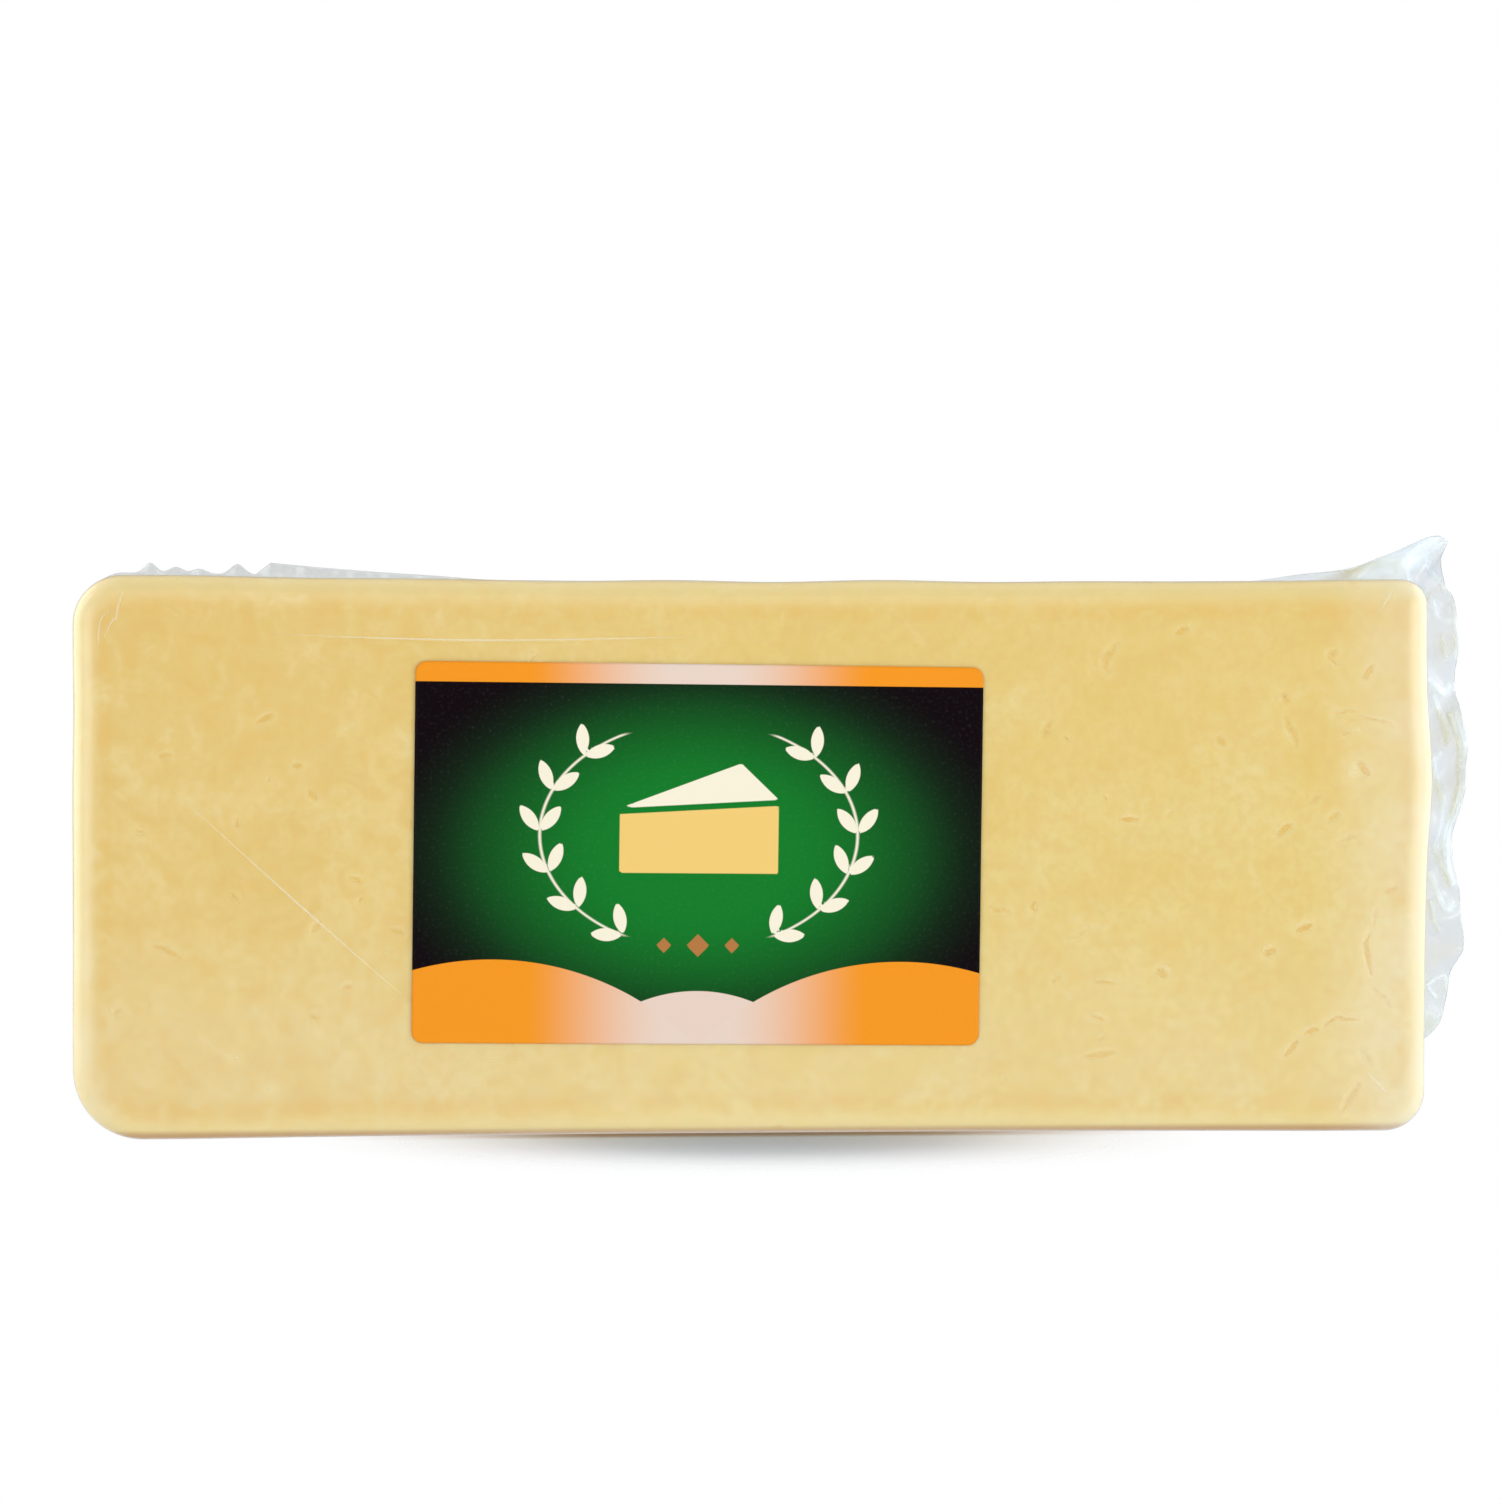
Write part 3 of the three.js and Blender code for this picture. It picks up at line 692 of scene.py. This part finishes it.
def make_cheese():
    """The cheese: the block's form just under the film, with swells, curd lumps and sunk curd lines."""
    label_from, label_to = LABEL_X - LABEL_HALF_WIDTH, LABEL_X + LABEL_HALF_WIDTH
    long_way = stations([
        (-HALF_LENGTH, -161, 16), (-161, label_from, 68), (label_from, label_to, 66),
        (label_to, 164, 104), (164, HALF_LENGTH, 14),
    ])
    deep = stations([(-HALF_DEPTH, -36, 8), (-36, 36, 16), (36, HALF_DEPTH, 8)])
    tall = stations([(-HALF_HEIGHT, -55, 16), (-55, 58, 90), (58, HALF_HEIGHT, 13)])
    box, faces = box_shell(long_way, deep, tall)
    points = block_form(box)
    normals = point_normals(points, faces)
    depth, halo = line_fields(box, normals)
    relief = curd_relief(points) - depth * off_the_base(points)
    attributes = {"halo": halo, "edge": edge_distance(box)}
    piece = make_piece("cheese", points + normals * relief[:, None], faces, cheese_material(), attributes)
    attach(piece, "root")
    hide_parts("cheese_block")


def make_curd_lines():
    """The stains in the curd lines: a strip along each, just above the cheese, with bells across it.

    The orange bell is along the middle, and the pale one, a painted highlight, along the edge that is higher
    or more to the left.
    """
    count, across_share = 16, np.linspace(1.0, -1.0, 9)
    taper = np.sin(np.pi * np.linspace(0.03, 0.97, count))[:, None] ** 0.5
    points, faces, stains, pales = [], [], [], []
    for (along, up, off, sign), stain, pale, width, line in curd_lines():
        path = np.full((count, 3), sign * HALF_SIZE[off])
        path[:, [along, up]] = spline(line, count)
        middle = block_form(path)
        outward = outward_from(middle)
        middle = middle + outward * (curd_relief(middle) + LINE_ABOVE)[:, None]
        across = unit(np.cross(outward, np.gradient(middle, axis=0)))
        # Painted highlight: the pale bell sits on the side that faces up and to the left.
        pale_at = 0.62 * np.sign(across.mean(axis=0) @ [-0.6, 0.0, 0.8]) if stain > 0 else 0.0
        faces.append(grid_faces(count, len(across_share)) + sum(map(len, points)))
        strip = middle[:, None] + (1.8 * width * taper**0.5 * across_share)[..., None] * across[:, None]
        points.append(strip.reshape(-1, 3))
        stains.append((stain * taper * np.exp(-((across_share / 0.33) ** 2))).ravel())
        pales.append((pale * taper * np.exp(-(((across_share - pale_at) / 0.27) ** 2))).ravel())
    attributes = {"stain": np.concatenate(stains), "pale": np.concatenate(pales)}
    points, faces = np.concatenate(points), np.concatenate(faces)
    piece = make_piece("curd_lines", points, faces, curd_line_material(), attributes, smooth=False)
    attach(piece, "root")


# The bag


def skin_light_haze(box, points):
    """How much the tight film clouds, from 0 to 1: painted highlight on the rims, most at the ends, painted
    light to the right, and painted bounce light low down.
    """
    x, _, z = points.T
    rims = 1.0 - smoothstep(edge_distance(box), 0.0, 9.0)
    ends = smoothstep(np.abs(x), HALF_LENGTH - 16.0, HALF_LENGTH - 4.0)
    end_side = smoothstep(x, HALF_LENGTH - 5.0, HALF_LENGTH + 1.0)
    to_the_right = smoothstep(x, HALF_LENGTH - 34.0, HALF_LENGTH) - 0.5 * end_side
    low = smoothstep(z, 1.0, 12.0) * (1.0 - smoothstep(z, 12.0, 70.0))
    haze = RIM_HIGHLIGHT_HAZE * rims * (0.3 + 0.7 * ends) + END_LIGHT_HAZE * to_the_right + LOW_BOUNCE_HAZE * low
    return np.clip(haze, 0.0, 1.0)


def make_skin(material):
    """The film that the vacuum draws tight over the cheese: the block's form with its slow swell."""
    long_way = stations([(-HALF_LENGTH, -161, 14), (-161, 164, 148), (164, HALF_LENGTH, 12)])
    deep = stations([(-HALF_DEPTH, -36, 9), (-36, 36, 16), (36, HALF_DEPTH, 9)])
    tall = stations([(-HALF_HEIGHT, -55, 14), (-55, 58, 53), (58, HALF_HEIGHT, 12)])
    box, faces = box_shell(long_way, deep, tall)
    points = block_form(box)
    # A white haze on the film that paints the rims' highlight, light to the right and bounce light low down.
    haze = skin_light_haze(box, points)
    points = points + point_normals(points, faces) * slow_swell(points)[:, None]
    piece = make_piece("bag_skin", points, faces, material, {"crease": haze})
    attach(piece, "root")


def film_fin(name, root, edge, rows, sway, part, creased, material):
    """Loose double film between two lines of x, z: a grid out along the near sheet, back along the far one.

    A point is a straight share of the way from root to edge. Both sheets are moved sideways by sway, and each
    away from the other by part, so they meet where part is 0, as at the edge. creased is how white they are,
    a painted highlight.
    """
    columns = len(root)
    share = np.repeat(np.linspace(0.0, 1.0, rows)[:, None], columns, axis=1)
    travel = np.concatenate([[0.0], np.cumsum(np.linalg.norm(np.diff(edge, axis=0), axis=1))])
    along = np.repeat(travel[None], rows, axis=0)
    flat = root[None] + share[..., None] * (edge - root)[None]
    middle, half_gap = sway(flat, along, share), part(flat, along, share)
    near_sheet = np.stack([flat[..., 0], middle - half_gap, flat[..., 1]], axis=-1)
    far_sheet = np.stack([flat[..., 0], middle + half_gap, flat[..., 1]], axis=-1)
    points = np.concatenate([near_sheet, far_sheet[-2::-1]])
    white = creased(flat, along, share)
    white = np.concatenate([white, white[-2::-1]])
    faces = grid_faces(2 * rows - 1, columns)
    piece = make_piece(name, points.reshape(-1, 3), faces, material, {"crease": white.ravel()})
    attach(piece, "root")
    return piece


def fold_fields(places):
    """Sideways shift in millimetres and whiteness from 0 to 1 that the tail's folds give at the places.

    A fold's ridge falls off with the distance over its spread, to the power of its sharpness, as a power of
    e. Its whiteness, a painted highlight, is a bell across it.
    """
    shift, white = np.zeros((2, *places.shape[:-1]))
    for kind, line in TAIL_FOLDS:
        ridge, spread, sharpness, whiteness, white_spread = FOLD_KINDS[kind]
        distance = line_distance(places, spline(line, 16))
        shift -= ridge * np.exp(-((distance / spread) ** sharpness))
        white = np.maximum(white, whiteness * np.exp(-((distance / white_spread) ** 2)))
    return shift, white


def make_tail(material):
    """The bag's mouth on the right end: from the top, round the corner and its raised ear, down the end.

    It grows from nothing at its start on the top, and its sheets meet at both its ends.
    """
    count = 400
    path = np.array([
        [TAIL_FROM_X, 0.0, HALF_HEIGHT],
        [HALF_LENGTH, 0.0, HALF_HEIGHT],
        [HALF_LENGTH, 0.0, TAIL_TO_Z - HALF_HEIGHT],
    ])
    root = evenly(block_form(evenly(path, 2000))[:, [0, 2]], count)
    grown = smoothstep(np.linspace(0.0, 1.0, count), 0.0, 0.1)[:, None]
    edge = root + grown * (spline(TAIL_EDGE, count) - root)

    def sway(places, along, share):
        crumpled = plane_waves(places, 5, 14, 22.0, 8.0, 0.5) + fold_fields(places)[0]
        bent = share * waves(along, TAIL_WAVES) + crumpled * smoothstep(share, 0.0, 0.3)
        return bent * smoothstep(along, 0.0, 35.0)

    def part(places, along, share):
        puff = np.clip(plane_waves(places, 8, 12, 26.0, 12.0, 0.6) + 0.5, 0.05, 1.6)
        ends = smoothstep(along, 0.0, 15.0) * smoothstep(along.max() - along, 0.0, 6.0)
        return (0.1 + puff) * smoothstep(1.0 - share, 0.0, 0.2) * ends

    def creased(places, along, share):
        # Painted highlight: white along the folds and at the outer edge.
        return np.maximum(fold_fields(places)[1], smoothstep(share, 0.985, 1.0))

    piece = film_fin("bag_tail", root, edge, 46, sway, part, creased, material)
    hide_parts("film_tail")


def crest_height(x):
    """How high the ruffle stands over the block at x: a low strip, humps, and a peak with a long wedge."""
    past = x - CREST_PEAK
    climb = np.maximum(0.0, 1.0 + past / CREST_RISE)
    run_out = np.maximum(0.0, 1.0 - past / CREST_RUN) ** CREST_FADE
    wedge = CREST_PEAK_HEIGHT * np.where(past < 0, climb, run_out)
    humps = sum(height * np.exp(-(((x - at) / spread) ** 2)) for at, height, spread in CREST_RUFFLES)
    return CREST_LOW + wedge + humps


def make_crest(material):
    """The ruffle along the top near the left end: an arch of film over a wavy line, run out at both ends."""
    count = 320
    x = np.linspace(CREST_FROM_X, CREST_TO_X, count)
    root = block_form(np.stack([x, np.zeros(count), np.full(count, HALF_HEIGHT)], axis=1))[:, [0, 2]]
    grown = smoothstep(x, CREST_FROM_X, CREST_FROM_X + 8.0) * smoothstep(x, CREST_TO_X, CREST_TO_X - 24.0)
    edge = root + np.stack([np.zeros(count), grown * crest_height(root[:, 0])], axis=1)

    def sway(places, along, share):
        return waves(places[..., 0], CREST_WAVES)

    def part(places, along, share):
        return 1.5 * grown * np.sqrt(np.maximum(0.0, 1.0 - share**2))

    def creased(places, along, share):
        # Painted highlight: white near the top of the arch.
        return smoothstep(share, 0.88, 0.97) * 0.8

    piece = film_fin("bag_crest", root, edge, 14, sway, part, creased, material)
    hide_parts("film_crest")


def crease_paths():
    """The tight film's creases, as lines on the square-edged box: those on the label side, and strewn ones.

    A strewn crease starts near an edge of the block by a corner and runs in over the side at a slant.
    """
    for line in FACE_CREASES:
        flat = spline(line, 40)
        yield np.stack([flat[:, 0], np.full(40, -HALF_DEPTH), flat[:, 1] - HALF_HEIGHT], axis=1)
    random = np.random.default_rng(CREASE_SEED)
    share = np.linspace(0.0, 1.0, 40)[:, None]
    sides = [(0, 2, 1, 1.0), (0, 1, 2, 1.0), (1, 2, 0, 1.0), (1, 2, 0, -1.0)]
    for along, up, off, sign in sides:
        for _ in range(14):
            corner = random.choice([-1.0, 1.0], 2)
            start = corner * (HALF_SIZE[[along, up]] - CREASE_FROM_EDGE)
            slide = random.random() ** 2 * 0.5 * HALF_SIZE[[along, up]]
            start = start - corner * slide * random.permutation([1.0, 0.0])
            reach = -corner * random.uniform(8.0, 34.0) * unit(random.uniform(0.2, 1.0, 2))
            flat = start + share * reach + share * (1.0 - share) * random.uniform(-4.0, 4.0, 2)
            path = np.empty((40, 3))
            path[:, [along, up]] = np.clip(flat, -HALF_SIZE[[along, up]], HALF_SIZE[[along, up]])
            path[:, off] = sign * HALF_SIZE[off]
            yield path


def make_creases(material):
    """Thin raised ridges of film: a parabola carried along each crease, white on top as a painted highlight,
    tapered to its ends.
    """
    across_share = np.linspace(1.0, -1.0, 7)
    points, faces, white = [], [], []
    for path in crease_paths():
        line = block_form(path)
        off = outward_from(line)
        line = line + off * (slow_swell(line) - 0.02)[:, None]
        across = unit(np.cross(off, np.gradient(line, axis=0)))
        taper = np.sin(np.pi * np.linspace(0.02, 0.98, len(line))) ** 0.6
        # Painted highlight: white along the top of each ridge.
        white.append((taper[:, None] * (1.0 - across_share**2)).ravel())
        sideways = (0.5 * CREASE_WIDTH * taper[:, None] * across_share)[..., None] * across[:, None]
        raised = (CREASE_HEIGHT * taper[:, None] * (1.0 - across_share**2))[..., None] * off[:, None]
        faces.append(grid_faces(len(line), len(across_share)) + sum(map(len, points)))
        points.append((line[:, None] + sideways + raised).reshape(-1, 3))
    points, faces = np.concatenate(points), np.concatenate(faces)
    piece = make_piece("bag_creases", points, faces, material, {"crease": np.concatenate(white)})
    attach(piece, "root")


# The label


def polygon_distance(places, corners):
    """How far each place is outside a convex anticlockwise polygon: the largest distance to its sides."""
    corners = np.array(corners, float)
    span = unit(np.roll(corners, -1, axis=0) - corners)
    return np.max([(places - c) @ [s[1], -s[0]] for c, s in zip(corners, span)], axis=0)


def leaf_distance(places, middle, angle, length, width):
    """How far each place is outside a leaf: the shape two equal circles share, with its tips length apart."""
    turn = math.radians(angle)
    along = np.array([math.cos(turn), math.sin(turn)])
    apart = np.array([-along[1], along[0]])
    radius = (length**2 / width + width) / 4.0
    shift = apart * (radius - width / 2.0)
    centres = (middle - shift, middle + shift)
    return np.max([np.linalg.norm(places - centre, axis=1) - radius for centre in centres], axis=0)


def wedge_distances(places):
    """How far each place on the label is from the top and from the front of a plain wedge of cheese."""
    top = polygon_distance(places, [(-21.0, 12.0), (21.0, 14.5), (11.0, 24.0)])
    front = polygon_distance(places, [(-21.0, -5.0), (21.0, -5.0), (21.0, 12.9), (-21.0, 10.4)])
    return top, front


def leaves_distance(places):
    """How far each place is from the leaves of two sprigs: pairs that lean out along an ellipse's sides."""
    leaves = []
    for side in (-1.0, 1.0):
        for step in range(6):
            swing = math.radians(-62.0 + 21.0 * step)
            reach = np.array([side * SPRIG_WIDE * math.cos(swing), SPRIG_TALL * math.sin(swing)])
            heading = 90.0 + side * (math.degrees(swing) * 0.8)
            for lean in (-38.0, 38.0):
                turn = math.radians(heading + lean)
                middle = np.array(SPRIG_MIDDLE[:2]) + reach + 4.6 * np.array([math.cos(turn), math.sin(turn)])
                leaves.append(leaf_distance(places, middle, heading + lean, 8.4, 3.4))
    return np.min(leaves, axis=0)


def diamonds_distance(places):
    """How far each place is from a row of diamonds under the wedge."""
    row = np.abs(places[:, 1] + 24.0)
    sizes = ((-9.0, 2.0), (0.0, 3.0), (9.0, 2.0))
    return np.min([(np.abs(places[:, 0] - x) + row - size) / math.sqrt(2.0) for x, size in sizes], axis=0)


def make_label():
    """The label: a thin card with rounded corners that follows the face, with its print's distances."""
    card, faces = box_shell(
        np.linspace(-LABEL_HALF_WIDTH, LABEL_HALF_WIDTH, 201),
        np.array([-LABEL_THICKNESS, 0.0]),
        np.linspace(-LABEL_HALF_HEIGHT, LABEL_HALF_HEIGHT, 135),
    )
    places = card[:, [0, 2]]
    past = np.abs(places) - (np.array([LABEL_HALF_WIDTH, LABEL_HALF_HEIGHT]) - LABEL_CORNER)
    turning = (past > 0).all(axis=1, keepdims=True)
    rounding = unit(past) * past.max(axis=1, keepdims=True) - past
    places = places + np.where(turning, rounding, 0.0) * np.sign(places)
    turn = math.radians(LABEL_TURN)
    across, up = places.T
    x = LABEL_X + across * math.cos(turn) - up * math.sin(turn)
    z = LABEL_Z + across * math.sin(turn) + up * math.cos(turn)
    face = np.stack([x, np.full_like(x, -HALF_DEPTH), z], axis=1)
    y = card[:, 1] - HALF_DEPTH - LABEL_OFF - slow_swell(face)
    wedge_top, wedge_front = wedge_distances(places)
    attributes = {
        "print_place": np.stack([across, up, np.zeros_like(up)], axis=1),
        "cream": np.minimum(wedge_top, leaves_distance(places)),
        "gold": wedge_front,
        "copper": diamonds_distance(places),
    }
    piece = make_piece("printed_label", np.stack([x, y, z], axis=1), faces, print_material(), attributes)
    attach(piece, "root")
    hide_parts("label")


# The studio


def make_floor():
    """A plain pale floor with a painted shadow under the block's middle, that fades out into the white
    surround.

    The painted shadow and the fade follow the distance past the block's base, over an ellipse, as the camera
    sees them. As a light the floor is even, so that the block is lit from below.
    """
    rings, spokes = 24, 96
    radius, angle = np.linspace(1.0, FLOOR_RADIUS, rings), np.linspace(2.0 * np.pi, 0.0, spokes)
    ring, spoke = np.meshgrid(radius, angle, indexing="ij")
    points = np.stack([ring * np.cos(spoke), ring * np.sin(spoke), np.full_like(ring, -0.05)], axis=-1)
    material, tree = new_material("studio_white")
    across = vector_sum(tree, "ABSOLUTE", object_place(tree))
    past = vector_sum(tree, "SUBTRACT", across, (0.0, HALF_DEPTH * MM, 0.0))
    outside = vector_sum(tree, "MAXIMUM", past, (0.0, 0.0, 0.0))
    away = vector_sum(tree, "LENGTH", vector_sum(tree, "MULTIPLY", outside, SHADE_FADE))
    # Painted shadow: darker and bluer near the block's middle, paler further off.
    pale = blend(tree, ramp(tree, away, 0.05, 1.1), (0.49, 0.54, 0.62, 1.0), (0.88, 0.92, 0.98, 1.0))
    shaded = node(tree, "BsdfDiffuse", {"Color": pale}).outputs["BSDF"]
    clear = node(tree, "BsdfTransparent").outputs["BSDF"]
    faded = node(tree, "MixShader", {0: ramp(tree, away, 0.4, 1.3), 1: shaded, 2: clear}).outputs["Shader"]
    bounce = node(tree, "Emission", {"Color": WHITE, "Strength": FLOOR_BOUNCE}).outputs["Emission"]
    finish_with(tree, node(tree, "MixShader", {0: camera_ray(tree), 1: bounce, 2: faded}).outputs["Shader"])
    make_piece("studio_floor", points.reshape(-1, 3), grid_faces(rings, spokes), material)


def make_surround():
    """A surround that the camera sees as white, and that lights brightly from behind, dimly from before."""
    world = bpy.data.worlds.new("studio_surround")
    bpy.context.scene.world = world
    world.use_nodes = True
    tree = world.node_tree
    tree.nodes.clear()
    ahead = node(tree, "SeparateXYZ", {0: node(tree, "TexCoord").outputs["Generated"]}).outputs["Y"]
    lit = ramp(tree, ahead, -0.8, 0.1, 0.25, 0.65)
    strength = calculate(tree, "MAXIMUM", lit, camera_ray(tree))
    sky = node(tree, "Background", {"Color": WHITE, "Strength": strength}).outputs["Background"]
    node(tree, "OutputWorld", {"Surface": sky})


def facing_matrix(right, up, back, place):
    """The matrix of something whose own axes are right, up and back."""
    matrix = np.eye(4)
    matrix[:3, :3] = np.stack([right, up, back], axis=1)
    matrix[:3, 3] = np.asarray(place) * MM
    return Matrix(matrix.tolist())


def soft_light(name, place, width, height, power):
    """A rectangular soft light at a place, turned towards the block's middle, in millimetres and watts."""
    data = bpy.data.lights.new(name, "AREA")
    data.shape = "RECTANGLE"
    data.size, data.size_y = width * MM, height * MM
    data.energy = power
    light = bpy.data.objects.new(name, data)
    bpy.context.scene.collection.objects.link(light)
    back = unit(np.array(place) - [0.0, 0.0, HALF_HEIGHT])
    right = unit(np.cross([0.0, 1.0, 0.0] if abs(back[2]) > 0.9 else [0.0, 0.0, 1.0], back))
    light.matrix_world = facing_matrix(right, np.cross(back, right), back, place)


def make_lights():
    """Soft boxes to the left and right of the camera and above it, one behind each end, and one overhead."""
    soft_light("left_front_box", (-1000.0, -950.0, 160.0), 700, 700, 4.5)
    soft_light("right_front_box", (1000.0, -950.0, 160.0), 700, 700, 6.1)
    soft_light("front_box", (-60.0, -750.0, 460.0), 700, 500, 1.6)
    soft_light("left_end_box", (-900.0, 300.0, 300.0), 900, 1200, 8.0)
    soft_light("right_end_box", (900.0, 120.0, 300.0), 900, 1200, 6.0)
    soft_light("top_box", (0.0, 250.0, 950.0), 1200, 700, 1.5)


def make_camera():
    """The photograph's view: the aim point, seen from a direction and distance, with a slight roll."""
    azimuth, elevation, roll = np.radians([VIEW_AZIMUTH, VIEW_ELEVATION, VIEW_ROLL])
    level = np.array([math.sin(azimuth), -math.cos(azimuth), 0.0])
    back = level * math.cos(elevation) + np.array([0.0, 0.0, math.sin(elevation)])
    right = unit(np.cross([0.0, 0.0, 1.0], back))
    up = np.cross(back, right)
    turned_right = math.cos(roll) * right + math.sin(roll) * up
    turned_up = math.cos(roll) * up - math.sin(roll) * right
    data = bpy.data.cameras.new("photo_view")
    data.sensor_width = SENSOR
    data.lens = FOCAL_PIXELS / IMAGE_SIDE * SENSOR
    camera = bpy.data.objects.new("photo_view", data)
    bpy.context.scene.collection.objects.link(camera)
    place = np.array(VIEW_AIM) + back * VIEW_DISTANCE
    camera.matrix_world = facing_matrix(turned_right, turned_up, back, place)
    bpy.context.scene.camera = camera


make_camera()
make_floor()
make_surround()
make_lights()
bpy.context.scene.view_settings.view_transform = "Standard"
white_milk, blue_milk = srgb(246, 252, 251), srgb(234, 247, 255)
make_cheese()
make_curd_lines()
make_skin(film_material(
    "tight_film", tint=(0.985, 0.985, 0.98, 1.0), slant_tint=(0.95, 0.95, 0.94, 1.0),
    milk=white_milk, haze=0.0, crease_haze=0.2, gloss=0.27, ripple=0.0,
))
make_creases(film_material(
    "creased_film", tint=WHITE, slant_tint=WHITE,
    milk=white_milk, haze=0.0, crease_haze=0.3, gloss=0.35, ripple=0.0,
))
make_tail(film_material(
    "loose_film", tint=(0.885, 0.902, 0.916, 1.0), slant_tint=(0.87, 0.89, 0.915, 1.0),
    milk=blue_milk, haze=0.12, crease_haze=0.8, gloss=0.25, ripple=0.06,
))
make_crest(film_material(
    "ruffled_film", tint=(0.81, 0.825, 0.825, 1.0), slant_tint=(0.84, 0.855, 0.87, 1.0),
    milk=blue_milk, haze=0.12, crease_haze=0.6, gloss=0.25, ripple=0.06,
))
make_label()
